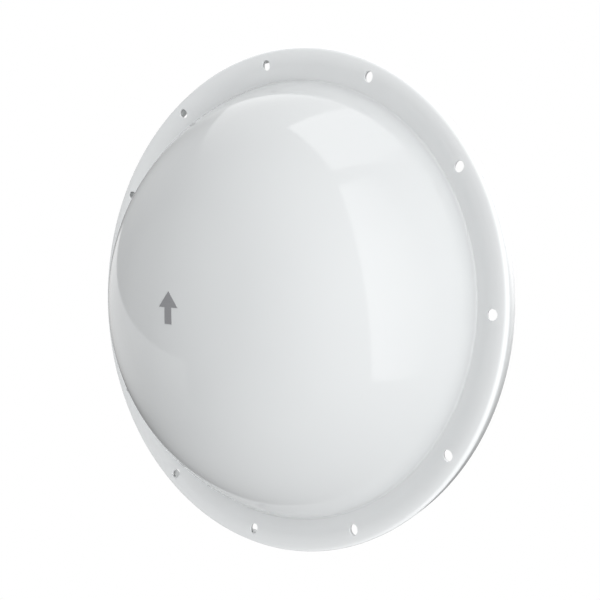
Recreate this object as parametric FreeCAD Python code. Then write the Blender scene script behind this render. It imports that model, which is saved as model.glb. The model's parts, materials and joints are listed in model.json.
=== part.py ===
import FreeCAD, Part
import math
import os

# Front-radome dish antenna on a two-axis pole mount.
#
# The radome is a spherical dome on a dished flange, which nests in the rim of a parabolic reflector and has
# a skirt that slips over it. A splash-plate feed stands at the reflector's centre. Behind it a hub, a
# tilting bracket, a swivelling yoke and a clamp bracket carry the antenna on a vertical pole.
#
# Frame: the origin is on the pole's axis, midway between the clamps. +Z is up, along the pole. The antenna
# looks along -Y. Millimetres. An axial place on the antenna is given as its distance ahead of the crest of
# the radome's flange, and at() turns it into a Y.

V = FreeCAD.Vector
X_AXIS = V(1, 0, 0)
Y_AXIS = V(0, 1, 0)
Z_AXIS = V(0, 0, 1)
BACK = V(0, 1, 0)
AHEAD = V(0, -1, 0)
UP = V(0, 0, 1)
DOWN = V(0, 0, -1)

# ---------------------------------------------------------------- driving dimensions
FLANGE_Y = -337.0            # foremost plane of the radome's flange, its crest
RADOME_R = 330.0             # outer radius of flange and skirt
WALL = 2.5                   # moulded wall of the radome
DOME_RISE = 158.4            # apex ahead of the crest
DOME_FOOT_R = 292.4          # where dome and flange would meet without the fillet
FOOT_FILLET = 2.0
FLANGE_EDGE_R = 5.0          # rounding from crest to skirt
CREST_ROUND = 32.0           # large rounding from the crest inwards
RIM_SLOPE = 34.0             # slope in degrees of the flange inside that rounding, down to the dome's foot
SKIRT_DEPTH = 23.0
RIM_HOLES = 12
RIM_HOLE_CIRCLE_R = 312.6
RIM_HOLE_R = 6.0

GASKET_T = 1.5
GASKET_IN_R = 296.0
GASKET_OUT_R = 304.0

DISH_R = 325.0               # outer radius of the reflector's turned rim
RIM_ROUND = 28.0             # rounding from the parabola to the rim's crest
RIM_BEND = 3.0               # outer rounding from the rim's crest to its lip
RIM_LIP = 15.0               # depth of the turned lip
SHEET = 1.6                  # reflector sheet, measured along the axis
CENTRE_FLAT_R = 46.0
DISH_HOLE_R = 7.5            # clearance holes behind the radome's holes
TUBE_HOLE_R = 20.0
DRAIN_R = 270.0              # the drain plug is this far below the centre
DRAIN_HOLE_R = 5.2

POLE_R = 30.15               # 60.3 mm steel mast
CLAMP_LOW = 35.0             # each clamp covers this span above and below the origin
CLAMP_HIGH = 75.0
CLAMP_BOLT_X = 48.0
CLAMP_BOLT_Z = (CLAMP_LOW + CLAMP_HIGH) / 2
SEAT_HALF_ANGLE = 50.0       # half the arc that a saddle or jaw holds
SADDLE_HALF_WIDTH = 31.0

PLATE_BACK = -44.0           # rear face of the pole bracket's plate
PLATE_FRONT = -50.0
PLATE_HALF_WIDTH = 62.0
PLATE_HALF_HEIGHT = 95.0
LUG_IN = 80.0                # the two lugs span this to LUG_OUT above and below
LUG_OUT = 85.0
LUG_HALF_WIDTH = 30.0
LUG_FRONT = -106.0

AZ_PIVOT_Y = -64.0
AZ_LOCK_REACH = 26.0         # lock bolt ahead of the azimuth pivot
AZ_RANGE = 15.0
YOKE_BACK = -100.0           # rear face of the yoke's web
YOKE_FRONT = -105.0
YOKE_FLANGE_IN = 74.0
YOKE_FLANGE_OUT = 79.0
YOKE_IN = 40.0               # inner face of the yoke's cheeks
YOKE_OUT = 45.0

EL_PIVOT_Y = -150.0
EL_PIVOT_Z = -45.0
EL_LOCK_REACH = 88.0         # lock bolt above the elevation pivot
EL_RANGE = 20.0
TILT_IN = 46.0               # inner face of the tilt bracket's cheeks
TILT_OUT = 50.0
TILT_WEB_BACK = -206.0
TILT_WEB_FRONT = -210.0
TILT_WEB_HALF_HEIGHT = 80.0

HUB_PLATE_T = 3.0
HUB_R = 119.0
HUB_FLANGE_R = 137.0
HUB_WALL = 3.0
HUB_FLANGE_T = 2.0
HUB_BOLT_X = 36.0
HUB_BOLT_Z = 62.0
RIVETS = 12
RIVET_CIRCLE_R = 128.0

BLOCK_HALF = 28.0            # RF transition block, half width and half height
BLOCK_DEPTH = 42.0
BLOCK_CORNER_R = 4.0
COVER_T = 3.0
TUBE_SEAT = 13.0             # the feed tube's socket in the block, with 1 mm to spare behind the tube
TUBE_R = 19.0
TUBE_BORE_R = 17.0
CONNECTOR_X = 15.0
CONNECTOR_R = 7.9
CONNECTOR_BARREL = 15.0
FEED_SCREW_CIRCLE_R = 35.0
BLOCK_SCREW_BITE = 5.0       # how far the block's screws reach into the spacer
TUBE_TO_FOCUS = 27.0         # from the feed tube's front end to the focus
SPLASH_R = 38.0              # seat of the splash plate on the feed's cone
SPLASH_T = 7.5

EL_BUSH_R = 7.0
AZ_BUSH_R = 8.0
GROUND_X = -50.0             # grounding stud on the pole bracket's plate
GROUND_Z = -85.0
GROUND_KNURL_R = 3.25
GROUND_THREAD = 24.0         # free length of the stud's thread
JAW_EAR_BACK = 36.0
CASTING_R = 4.0              # rounded corners of the cast clamp pieces
GUSSET_T = 6.0
GUSSET_REACH = 27.0

SLACK = 0.1                  # gap between faces that slide on each other
GAP = 1.0                    # space between cheeks, and between lugs and yoke
TAPPED = 0.05                # holes are larger in radius than their screws by this where they are tapped,
CLOSE = 0.2                  # this where they locate,
LOOSE = 0.5                  # and this where they only let the bolt through
OVER = 1.0                   # how far a cutting tool starts clear of the face it enters
BROKEN = 0.5                 # chamfer that breaks the edges of plates and castings
TILT_BEND = 5.0              # outer bend radii of the two pressed brackets
YOKE_BEND = 3.0

# ---------------------------------------------------------------- derived places
SLOPE = math.radians(RIM_SLOPE)
CREST_R = RADOME_R - FLANGE_EDGE_R
CONE_R = CREST_R - CREST_ROUND * math.sin(SLOPE)               # where the flange's cone starts, going inwards
CONE_DROP = CREST_ROUND * (1 - math.cos(SLOPE))                # how far that is behind the crest
FOOT = -CONE_DROP - (CONE_R - DOME_FOOT_R) * math.tan(SLOPE)   # the dome's foot, as a place ahead of the crest
DOME_R = (DOME_FOOT_R**2 + (DOME_RISE - FOOT)**2) / (2 * (DOME_RISE - FOOT))
DOME_CENTRE = DOME_RISE - DOME_R
RIM_CREST_R = DISH_R - RIM_BEND
APERTURE_R = RIM_CREST_R - RIM_ROUND * math.sin(SLOPE)         # the parabola ends here, at the same slope
FOCAL_LENGTH = APERTURE_R / (2 * math.tan(SLOPE))
GASKET_R = (GASKET_IN_R + GASKET_OUT_R) / 2
GASKET_SEAT = -CONE_DROP - (CONE_R - GASKET_R) * math.tan(SLOPE) - (WALL + GASKET_T) / math.cos(SLOPE)
VERTEX = GASKET_SEAT - GASKET_R**2 / (4 * FOCAL_LENGTH)
RIM_CREST = VERTEX + APERTURE_R**2 / (4 * FOCAL_LENGTH) + RIM_ROUND * (1 - math.cos(SLOPE))
HUB_BACK = FLANGE_Y - TILT_WEB_FRONT                           # rear face of the hub plate
HUB_FRONT = HUB_BACK + HUB_PLATE_T
CENTRE_FACE = VERTEX + CENTRE_FLAT_R**2 / (4 * FOCAL_LENGTH)
FOCUS = VERTEX + FOCAL_LENGTH
TUBE_END = FOCUS - TUBE_TO_FOCUS
TUBE_START = HUB_BACK - TUBE_SEAT + 1
CONNECTOR_Y = TILT_WEB_FRONT + BLOCK_DEPTH / 2
EL_LOCK = V(0, EL_PIVOT_Y, EL_PIVOT_Z + EL_LOCK_REACH)
AZ_PIVOT = V(0, AZ_PIVOT_Y, 0)
AZ_LOCK = V(0, AZ_PIVOT_Y - AZ_LOCK_REACH, 0)

# Metric hex hardware: shank radius, width across flats, head height, nut height, washer radius, thickness
METRIC = {
    "M4": (2.0, 7.0, 2.8, 3.2, 4.5, 0.8),
    "M6": (3.0, 10.0, 4.0, 5.0, 6.0, 1.6),
    "M8": (4.0, 13.0, 5.3, 6.5, 8.0, 1.6),
    "M10": (5.0, 16.0, 6.4, 8.0, 10.0, 2.0),
    "M12": (6.0, 18.0, 7.5, 10.0, 12.0, 2.5),
}


# ---------------------------------------------------------------- helpers
def at(ahead):
    """Y of a place that lies this far ahead of the flange's crest."""
    return FLANGE_Y - ahead


def parabola(radius, shift=0.0):
    """Axial place of the reflector's front surface, moved back by shift."""
    return VERTEX + radius**2 / (4 * FOCAL_LENGTH) - shift


def dome(radius, inset=0.0):
    """Axial place of the dome's outer surface, or of the one inset below it."""
    return DOME_CENTRE + math.sqrt((DOME_R - inset)**2 - radius**2)


def line(a, b):
    return Part.LineSegment(V(a[0], at(a[1]), 0), V(b[0], at(b[1]), 0)).toShape()


def arc(a, mid, b):
    return Part.Arc(*[V(r, at(x), 0) for r, x in (a, mid, b)]).toShape()


def parabola_edge(r_from, r_to, shift):
    """Exact parabola as a quadratic Bezier, in the half plane that is turned round the Y axis."""
    middle = (r_from + r_to) / 2
    middle_x = VERTEX + r_from * r_to / (4 * FOCAL_LENGTH) - shift
    curve = Part.BezierCurve()
    ends = [(r_from, parabola(r_from, shift)), (middle, middle_x), (r_to, parabola(r_to, shift))]
    curve.setPoles([V(r, at(x), 0) for r, x in ends])
    return curve.toShape()


def turn(edges):
    """Solid of revolution about the antenna's axis."""
    face = Part.Face(Part.Wire(edges))
    return face.revolve(V(0, 0, 0), Y_AXIS, 360)


def turned(points):
    """Solid of revolution from a closed run of straight edges."""
    closed = points + points[:1]
    return turn([line(a, b) for a, b in zip(closed, closed[1:])])


def rod(base, direction, radius, length):
    return Part.makeCylinder(radius, length, base, direction)


def pipe(base, direction, outer, inner, length):
    return rod(base, direction, outer, length).cut(rod(base, direction, inner, length))


def block(x0, x1, y0, y1, z0, z1):
    return Part.makeBox(x1 - x0, y1 - y0, z1 - z0, V(x0, y0, z0))


def cut_all(shape, tools):
    for tool in tools:
        shape = shape.cut(tool)
    return shape


def place(shape, base, direction):
    """Moves a shape made along +Z from the origin so that it runs along direction from base."""
    moved = shape.copy()
    turn_to = FreeCAD.Rotation(Z_AXIS, direction)
    moved.Placement = FreeCAD.Placement(base, turn_to).multiply(moved.Placement)
    return moved


def hex_prism(across_flats, height):
    radius = across_flats / math.sqrt(3)
    corners = [V(radius * math.cos(math.radians(60 * k)), radius * math.sin(math.radians(60 * k)), 0)
               for k in range(7)]
    prism = Part.Face(Part.makePolygon(corners)).extrude(V(0, 0, height))
    # The chamfer that a real head has: a cone takes the corners off both ends.
    bevel = across_flats * 0.08
    cone_low = Part.makeCone(radius - bevel, radius + height, height + bevel)
    cone_high = Part.makeCone(radius + height, radius - bevel, height + bevel, V(0, 0, -bevel))
    return prism.common(cone_low).common(cone_high)


def bolt(size, base, direction, length):
    """Hex bolt: the head sits behind base, and the shank runs length along direction."""
    shank_r, flats, head_h = METRIC[size][:3]
    head = hex_prism(flats, head_h).translated(V(0, 0, -head_h))
    shank = Part.makeCylinder(shank_r, length)
    tip = shank.Edges
    tip = [e for e in tip if e.Curve.TypeId == "Part::GeomCircle" and e.Curve.Center.z > length / 2]
    shank = shank.makeChamfer(shank_r * 0.15, tip)
    return place(head.fuse(shank), base, direction)


def nut(size, base, direction):
    shank_r, flats, _, nut_h = METRIC[size][:4]
    body = hex_prism(flats, nut_h).cut(Part.makeCylinder(shank_r + 0.05, nut_h))
    return place(body, base, direction)


def washer(size, base, direction):
    shank_r, _, _, _, outer, thick = METRIC[size]
    return pipe(base, direction, outer, shank_r + 0.3, thick)


def arc_slot(centre, reach, half_width, half_angle, plane, thickness):
    """Curved slot round centre, as a cutting tool. plane gives the two axes it lies in."""
    reach_axis, side_axis = plane

    def spot(radius, degrees):
        a = math.radians(degrees)
        return centre + reach_axis * (radius * math.cos(a)) + side_axis * (radius * math.sin(a))

    inner = reach - half_width
    outer = reach + half_width
    end_low = centre + reach_axis * (reach * math.cos(math.radians(half_angle))) \
        - side_axis * (reach * math.sin(math.radians(half_angle)))
    end_high = centre + reach_axis * (reach * math.cos(math.radians(half_angle))) \
        + side_axis * (reach * math.sin(math.radians(half_angle)))
    edges = [
        Part.Arc(spot(outer, -half_angle), spot(outer, 0), spot(outer, half_angle)).toShape(),
        Part.makeLine(spot(outer, half_angle), spot(inner, half_angle)),
        Part.Arc(spot(inner, half_angle), spot(inner, 0), spot(inner, -half_angle)).toShape(),
        Part.makeLine(spot(inner, -half_angle), spot(outer, -half_angle)),
    ]
    normal = reach_axis.cross(side_axis)
    body = Part.Face(Part.Wire(edges)).extrude(normal * thickness)
    ends = [rod(p, normal, half_width, thickness) for p in (end_low, end_high)]
    return body.fuse(ends)


def outer_edges(shape):
    """Edges of a solid where two faces meet in a sharp outward corner."""
    picked = []
    for edge in shape.Edges:
        faces = shape.ancestorsOfType(edge, Part.Face)
        if len(faces) != 2:
            continue
        middle = edge.valueAt((edge.FirstParameter + edge.LastParameter) / 2)
        first, second = [face.normalAt(*face.Surface.parameter(middle)) for face in faces]
        sharp = math.degrees(first.getAngle(second)) > 25
        beside = middle + (first - second) * 0.05
        if sharp and not shape.isInside(beside, 0.0001, True):
            picked.append(edge)
    return picked


def eased(shape):
    """The solid with its sharp outer edges broken by a small chamfer."""
    solid = shape.Solids[0]
    return solid.makeChamfer(BROKEN, outer_edges(solid))


def edges_along(shape, axis, places):
    """Straight edges that run along the axis, "x" or "z", through one of the places (across, Y)."""
    picked = []
    for edge in shape.Edges:
        box = edge.BoundBox
        across, length = (box.XMin, box.ZLength) if axis == "z" else (box.ZMin, box.XLength)
        straight = abs(edge.Length - length) < 0.01
        if straight and any(abs(across - a) < 0.01 and abs(box.YMin - y) < 0.01 for a, y in places):
            picked.append(edge)
    return picked


def ring_places(count, radius, first=90.0):
    """Angle in degrees, X and Z of places evenly spaced round the antenna's axis."""
    for k in range(count):
        degrees = first + 360.0 * k / count
        yield degrees, radius * math.cos(math.radians(degrees)), radius * math.sin(math.radians(degrees))


def group(shapes):
    return Part.makeCompound(list(shapes))


def side_pair(make):
    """A piece for +X and its mirror image for -X."""
    right = make()
    return right, right.mirror(V(0, 0, 0), X_AXIS)


def up_and_down(make):
    """A piece above and its mirror image below."""
    upper = make()
    return upper, upper.mirror(V(0, 0, 0), Z_AXIS)


# ---------------------------------------------------------------- radome
def on_round(centre, radius, degrees):
    """Place at this radius round a centre in the profile's plane. 90 degrees is straight ahead."""
    a = math.radians(degrees)
    return centre[0] + radius * math.cos(a), centre[1] + radius * math.sin(a)


def fillet_points(inset):
    """Ends and middle of the concave fillet between dome and flange, for the outer skin or the inner one."""
    back_normal = (math.sin(SLOPE), -math.cos(SLOPE))
    inwards = (-math.cos(SLOPE), -math.sin(SLOPE))
    start = (CONE_R - back_normal[0] * FOOT_FILLET, -CONE_DROP - back_normal[1] * FOOT_FILLET)
    reach = DOME_R + FOOT_FILLET
    rise = start[1] - DOME_CENTRE
    along = start[0] * inwards[0] + rise * inwards[1]
    travel = -along - math.sqrt(along**2 - start[0]**2 - rise**2 + reach**2)
    centre = (start[0] + travel * inwards[0], start[1] + travel * inwards[1])
    dome_side = math.degrees(math.atan2(DOME_CENTRE - centre[1], -centre[0])) % 360
    flange_side = RIM_SLOPE + 270.0
    radius = FOOT_FILLET + inset
    sides = (dome_side, (dome_side + flange_side) / 2, flange_side)
    return [on_round(centre, radius, side) for side in sides]


def rounded(centre, radius, start, end):
    """Arc round a centre in the profile's plane, from one angle to another."""
    return arc(*[on_round(centre, radius, degrees) for degrees in (start, (start + end) / 2, end)])


def radome_shell():
    apex_out = (0, DOME_RISE)
    apex_in = (0, DOME_RISE - WALL)
    foot_out, foot_mid_out, flange_out = fillet_points(0)
    foot_in, foot_mid_in, flange_in = fillet_points(WALL)
    half_out = foot_out[0] / 2
    half_in = foot_in[0] / 2
    crest_centre = (CREST_R, -CREST_ROUND)
    edge_centre = (CREST_R, -FLANGE_EDGE_R)
    cone_out = on_round(crest_centre, CREST_ROUND, 90 + RIM_SLOPE)
    cone_in = on_round(crest_centre, CREST_ROUND - WALL, 90 + RIM_SLOPE)
    skirt_in = RADOME_R - WALL
    edges = [
        arc(apex_out, (half_out, dome(half_out)), foot_out),
        arc(foot_out, foot_mid_out, flange_out),
        line(flange_out, cone_out),
        rounded(crest_centre, CREST_ROUND, 90 + RIM_SLOPE, 90),
        rounded(edge_centre, FLANGE_EDGE_R, 90, 0),
        line((RADOME_R, -FLANGE_EDGE_R), (RADOME_R, -SKIRT_DEPTH)),
        line((RADOME_R, -SKIRT_DEPTH), (skirt_in, -SKIRT_DEPTH)),
        line((skirt_in, -SKIRT_DEPTH), (skirt_in, -FLANGE_EDGE_R)),
        rounded(edge_centre, FLANGE_EDGE_R - WALL, 0, 90),
        rounded(crest_centre, CREST_ROUND - WALL, 90, 90 + RIM_SLOPE),
        line(cone_in, flange_in),
        arc(flange_in, foot_mid_in, foot_in),
        arc(foot_in, (half_in, dome(half_in, WALL)), apex_in),
        line(apex_in, apex_out),
    ]
    holes = [rod(V(x, at(OVER), z), BACK, RIM_HOLE_R, SKIRT_DEPTH)
             for _, x, z in ring_places(RIM_HOLES, RIM_HOLE_CIRCLE_R)]
    return cut_all(turn(edges), holes)


def up_arrow():
    """Upward arrow just below the dome's centre: a skin-thick raised mark that follows the sphere."""
    half_head, half_stem, top, neck, bottom = 15.0, 5.5, 13.0, -5.0, -24.0
    outline = [(0, top), (half_head, neck), (half_stem, neck), (half_stem, bottom),
               (-half_stem, bottom), (-half_stem, neck), (-half_head, neck), (0, top)]
    start = at(DOME_RISE + 5)
    face = Part.Face(Part.makePolygon([V(x, start, z) for x, z in outline]))
    prism = face.extrude(V(0, 15, 0))
    centre = V(0, at(DOME_CENTRE), 0)
    skin = Part.makeSphere(DOME_R + 0.5, centre).cut(Part.makeSphere(DOME_R, centre))
    return prism.common(skin)


def rim_gasket():
    """Flat strip bent into a cone, between the flange's rear face and the reflector."""
    front = GASKET_SEAT + GASKET_T / math.cos(SLOPE)
    behind = GASKET_SEAT + SLACK
    inner = (GASKET_IN_R - GASKET_R) * math.tan(SLOPE)
    outer = (GASKET_OUT_R - GASKET_R) * math.tan(SLOPE)
    return turned([(GASKET_IN_R, front + inner), (GASKET_OUT_R, front + outer),
                   (GASKET_OUT_R, behind + outer), (GASKET_IN_R, behind + inner)])


# ---------------------------------------------------------------- reflector and hub
def normal_at(x, z):
    """Unit normal of the reflector at (x, z), pointing back and outwards, away from the focus."""
    return V(x, 2 * FOCAL_LENGTH, z).normalize()


def drain_place():
    return V(0, at(parabola(DRAIN_R)), -DRAIN_R)


def rivet_tools(radius):
    tools = []
    for _, x, z in ring_places(RIVETS, RIVET_CIRCLE_R, 75.0):
        axis = normal_at(x, z)
        tools.append(rod(V(x, at(parabola(RIVET_CIRCLE_R)), z) - axis * 6, axis, radius, 16))
    return tools


def reflector_dish():
    """Spun parabola whose edge rounds over a crest into a turned lip."""
    crest_centre = (RIM_CREST_R, RIM_CREST - RIM_ROUND)
    bend_centre = (RIM_CREST_R, RIM_CREST - RIM_BEND)
    back = APERTURE_R + SHEET * math.sin(SLOPE)
    back_start = on_round(crest_centre, RIM_ROUND - SHEET, 90 + RIM_SLOPE)
    lip_in = DISH_R - SHEET
    lip_start = RIM_CREST - RIM_BEND
    lip_end = RIM_CREST - RIM_LIP
    edges = [
        line((TUBE_HOLE_R, CENTRE_FACE), (CENTRE_FLAT_R, CENTRE_FACE)),
        parabola_edge(CENTRE_FLAT_R, APERTURE_R, 0),
        rounded(crest_centre, RIM_ROUND, 90 + RIM_SLOPE, 90),
        rounded(bend_centre, RIM_BEND, 90, 0),
        line((DISH_R, lip_start), (DISH_R, lip_end)),
        line((DISH_R, lip_end), (lip_in, lip_end)),
        line((lip_in, lip_end), (lip_in, lip_start)),
        rounded(bend_centre, RIM_BEND - SHEET, 0, 90),
        rounded(crest_centre, RIM_ROUND - SHEET, 90, 90 + RIM_SLOPE),
        line(back_start, (back, parabola(back, SHEET))),
        parabola_edge(back, CENTRE_FLAT_R, SHEET),
        line((CENTRE_FLAT_R, CENTRE_FACE - SHEET), (TUBE_HOLE_R, CENTRE_FACE - SHEET)),
        line((TUBE_HOLE_R, CENTRE_FACE - SHEET), (TUBE_HOLE_R, CENTRE_FACE)),
    ]
    tools = [rod(V(x, at(0), z), BACK, DISH_HOLE_R, SKIRT_DEPTH)
             for _, x, z in ring_places(RIM_HOLES, RIM_HOLE_CIRCLE_R)]
    tools += rivet_tools(2.5)
    tools += feed_screw_holes()
    drain = drain_place()
    axis = normal_at(drain.x, drain.z)
    tools.append(rod(drain - axis * 4, axis, DRAIN_HOLE_R, 12))
    return cut_all(turn(edges), tools)


def back_hub():
    """Pressed hub: a flange that follows the reflector's back, a drum wall and a flat plate."""
    wall_in = HUB_R - HUB_WALL
    bend = 4.0
    bend_middle = bend * (1 - math.cos(math.radians(45)))
    edges = [
        line((TUBE_HOLE_R, HUB_FRONT), (wall_in, HUB_FRONT)),
        line((wall_in, HUB_FRONT), (wall_in, parabola(wall_in, SHEET))),
        parabola_edge(wall_in, HUB_FLANGE_R, SHEET),
        line((HUB_FLANGE_R, parabola(HUB_FLANGE_R, SHEET)),
             (HUB_FLANGE_R, parabola(HUB_FLANGE_R, SHEET + HUB_FLANGE_T))),
        parabola_edge(HUB_FLANGE_R, HUB_R, SHEET + HUB_FLANGE_T),
        line((HUB_R, parabola(HUB_R, SHEET + HUB_FLANGE_T)), (HUB_R, HUB_BACK + bend)),
        arc((HUB_R, HUB_BACK + bend), (HUB_R - bend_middle, HUB_BACK + bend_middle),
            (HUB_R - bend, HUB_BACK)),
        line((HUB_R - bend, HUB_BACK), (TUBE_HOLE_R, HUB_BACK)),
        line((TUBE_HOLE_R, HUB_BACK), (TUBE_HOLE_R, HUB_FRONT)),
    ]
    tools = rivet_tools(2.5)
    tools += [rod(V(x, at(HUB_FRONT + OVER), z), BACK, METRIC["M8"][0] + LOOSE, HUB_PLATE_T + 2 * OVER)
              for x, z in hub_bolt_places()]
    tools += [rod(V(x, at(HUB_FRONT + OVER), z), BACK, METRIC["M4"][0] + CLOSE, HUB_PLATE_T + 2 * OVER)
              for x, z in block_screw_places()]
    tools += feed_screw_holes()
    return cut_all(turn(edges), tools)


def hub_rivets():
    shapes = []
    for _, x, z in ring_places(RIVETS, RIVET_CIRCLE_R, 75.0):
        axis = normal_at(x, z)
        front = V(x, at(parabola(RIVET_CIRCLE_R)), z)
        grip = (SHEET + HUB_FLANGE_T) * math.cos(math.atan(RIVET_CIRCLE_R / (2 * FOCAL_LENGTH)))
        shank = rod(front, axis, 2.4, grip)
        head_back = rod(front + axis * (grip + 0.1), axis, 4.5, 1.8)
        rim = [e for e in head_back.Edges if e.Curve.TypeId == "Part::GeomCircle"]
        rim = [e for e in rim if (e.Curve.Center - front).dot(axis) > grip + 1]
        head_back = head_back.makeFillet(1.5, rim)
        neck = rod(front + axis * (grip - 0.1), axis, 2.4, 0.3)
        head_front = rod(front - axis * 1.3, axis, 4.0, 1.2)
        neck_front = rod(front - axis * 0.3, axis, 2.4, 0.5)
        shapes.append(shank.fuse([head_back, neck, head_front, neck_front]).removeSplitter())
    return group(shapes)


def hub_spacer():
    """Collar that carries the feed's screws from the reflector's centre to the hub plate."""
    length = (CENTRE_FACE - SHEET) - HUB_FRONT
    body = pipe(V(0, at(CENTRE_FACE - SHEET), 0), BACK, CENTRE_FLAT_R - 2, TUBE_HOLE_R + 0.5, length)
    tapped = [rod(V(x, at(HUB_FRONT), z), AHEAD, METRIC["M4"][0] + TAPPED, BLOCK_SCREW_BITE + OVER)
              for x, z in block_screw_places()]
    return cut_all(body, feed_screw_holes() + tapped)


def drain_plug():
    place_at = drain_place()
    axis = normal_at(place_at.x, place_at.z)
    stem = rod(place_at + axis * -2.5, axis, DRAIN_HOLE_R - 0.2, 6.5)
    head = rod(place_at + axis * 1.8, axis, 10.0, 4.5)
    inner_lip = rod(place_at + axis * -2.9, axis, 6.2, 2.6)
    vent = rod(place_at + axis * 3, axis, 1.6, 8)
    rim = [e for e in head.Edges if e.Curve.TypeId == "Part::GeomCircle"]
    rim = [e for e in rim if (e.Curve.Center - place_at).dot(axis) > 4]
    head = head.makeFillet(1.5, rim)
    return stem.fuse([head, inner_lip]).removeSplitter().cut(vent)


# ---------------------------------------------------------------- feed
def feed_screw_spots():
    for _, x, z in ring_places(4, FEED_SCREW_CIRCLE_R):
        yield x, z


def feed_screw_holes():
    return [rod(V(x, at(CENTRE_FACE + 10), z), BACK, METRIC["M4"][0] + 0.1, 30)
            for x, z in feed_screw_spots()]


def feed_flange():
    """Turned flange that holds the feed tube at the reflector's centre, with an O-ring groove in its neck."""
    bore = TUBE_R + SLACK
    edge_r = CENTRE_FLAT_R - 3
    neck_r = 25.0
    groove_r = bore + 2.2
    foot = CENTRE_FACE
    top = foot + 22
    points = [(bore, foot), (edge_r, foot), (edge_r, foot + 3), (edge_r - 1, foot + 4),
              (neck_r + 3, foot + 4), (neck_r, foot + 7), (neck_r, top - 1), (neck_r - 1, top),
              (bore, top), (bore, foot + 15), (groove_r, foot + 15), (groove_r, foot + 12), (bore, foot + 12)]
    return cut_all(turned(points), feed_screw_holes())


def feed_oring():
    cord_r = 1.1
    return Part.makeTorus(TUBE_R + cord_r + 0.05, cord_r, V(0, at(CENTRE_FACE + 13.5), 0), Y_AXIS)


def feed_flange_screws():
    length = 4 + (CENTRE_FACE - HUB_BACK) + 1
    return group(bolt("M4", V(x, at(CENTRE_FACE + 4), z), BACK, length) for x, z in feed_screw_spots())


def feed_tube():
    return pipe(V(0, at(TUBE_END), 0), BACK, TUBE_R, TUBE_BORE_R, TUBE_END - TUBE_START)


def dielectric_cone():
    """Plug and flared cone that carry the splash plate at the focus."""
    inside = TUBE_BORE_R - SLACK
    base = TUBE_END
    collar_r = TUBE_R + 1
    seat = FOCUS + 1
    points = [(0, base - 22), (inside - 3, base - 22), (inside, base - 18), (inside, base),
              (collar_r, base), (collar_r, base + 3), (collar_r - 2, base + 5),
              (SPLASH_R, FOCUS - 1), (SPLASH_R, seat), (0, seat)]
    pilot = rod(V(0, at(seat + OVER), 0), BACK, METRIC["M4"][0] + TAPPED, 14)
    return turned(points).cut(pilot)


def subreflector():
    """Splash plate with stepped corrugations on its rear face and a shallow crown ahead."""
    back = FOCUS + 1
    lip = back - 3
    groove = back - 0.5
    ridge_1, ridge_2, outer = SPLASH_R + 1.5, SPLASH_R + 3, SPLASH_R + 4.5
    points = [(0, back), (SPLASH_R, back), (SPLASH_R, lip), (ridge_1, lip), (ridge_1, groove),
              (ridge_2, groove), (ridge_2, lip), (outer, lip), (outer, back + 4),
              (SPLASH_R + 2, back + 6), (16, back + SPLASH_T), (0, back + SPLASH_T)]
    return turned(points).cut(rod(V(0, at(back + SPLASH_T + OVER), 0), BACK, METRIC["M4"][0] + CLOSE, 20))


def subreflector_screw():
    top = FOCUS + 1 + SPLASH_T
    head = rod(V(0, at(top + 2.5), 0), BACK, 4.0, 2.5)
    slot = block(-0.6, 0.6, at(top + 3), at(top + 1.4), -5, 5)
    shank = rod(V(0, at(top), 0), BACK, METRIC["M4"][0], 18)
    return head.cut(slot).fuse(shank).removeSplitter()


def block_screw_places():
    corner = BLOCK_HALF - 5.0
    return [(sx * corner, sz * corner) for sx in (-1, 1) for sz in (-1, 1)]


def rf_transition_block():
    """Machined block that couples the round guide to two coaxial ports."""
    front = TILT_WEB_FRONT
    back = front + BLOCK_DEPTH
    body = block(-BLOCK_HALF, BLOCK_HALF, front, back, -BLOCK_HALF, BLOCK_HALF)
    upright = [e for e in body.Edges if abs(e.BoundBox.YLength - BLOCK_DEPTH) < 0.01]
    body = eased(body.makeFillet(BLOCK_CORNER_R, upright))
    tools = [rod(V(0, front - OVER, 0), BACK, TUBE_R + SLACK, TUBE_SEAT + OVER),
             rod(V(0, front, 0), BACK, TUBE_BORE_R, BLOCK_DEPTH + OVER)]
    tools += [rod(V(x, front - OVER, z), BACK, METRIC["M4"][0] + CLOSE, BLOCK_DEPTH + 2 * OVER)
              for x, z in block_screw_places()]
    tools += [rod(V(s * CONNECTOR_X, CONNECTOR_Y, -BLOCK_HALF - OVER), UP, 5.0, 20) for s in (-1, 1)]
    return cut_all(body, tools)


def transition_cover():
    back = TILT_WEB_FRONT + BLOCK_DEPTH
    half = BLOCK_HALF - 0.5
    body = block(-half, half, back, back + COVER_T, -half, half)
    upright = [e for e in body.Edges if abs(e.BoundBox.YLength - COVER_T) < 0.01]
    body = eased(body.makeFillet(BLOCK_CORNER_R, upright))
    raised = eased(rod(V(0, back + COVER_T - 1, 0), BACK, 16.0, 2.2))
    holes = [rod(V(x, back - OVER, z), BACK, METRIC["M4"][0] + CLOSE, COVER_T + 2 * OVER)
             for x, z in block_screw_places()]
    return cut_all(body.fuse(raised).removeSplitter(), holes)


def transition_screws():
    """Long screws through cover, block and hub plate."""
    back = TILT_WEB_FRONT + BLOCK_DEPTH + COVER_T
    length = BLOCK_DEPTH + COVER_T + HUB_PLATE_T + BLOCK_SCREW_BITE
    return group(bolt("M4", V(x, back, z), AHEAD, length) for x, z in block_screw_places())


def rf_connector(side):
    """Threaded coaxial jack with its flange, insulator and centre contact."""
    base = V(side * CONNECTOR_X, CONNECTOR_Y, -BLOCK_HALF)
    flange = rod(base, DOWN, 11.0, 3.0)
    barrel = rod(base + DOWN * 3, DOWN, CONNECTOR_R, CONNECTOR_BARREL)
    socket = rod(base + DOWN * 8, DOWN, 5.6, CONNECTOR_BARREL)
    shell = flange.fuse(barrel).removeSplitter().cut(socket)
    sleeve = pipe(base + DOWN * 8, DOWN, 3.2, 1.6, 8.0)
    return group([shell, sleeve])


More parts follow.
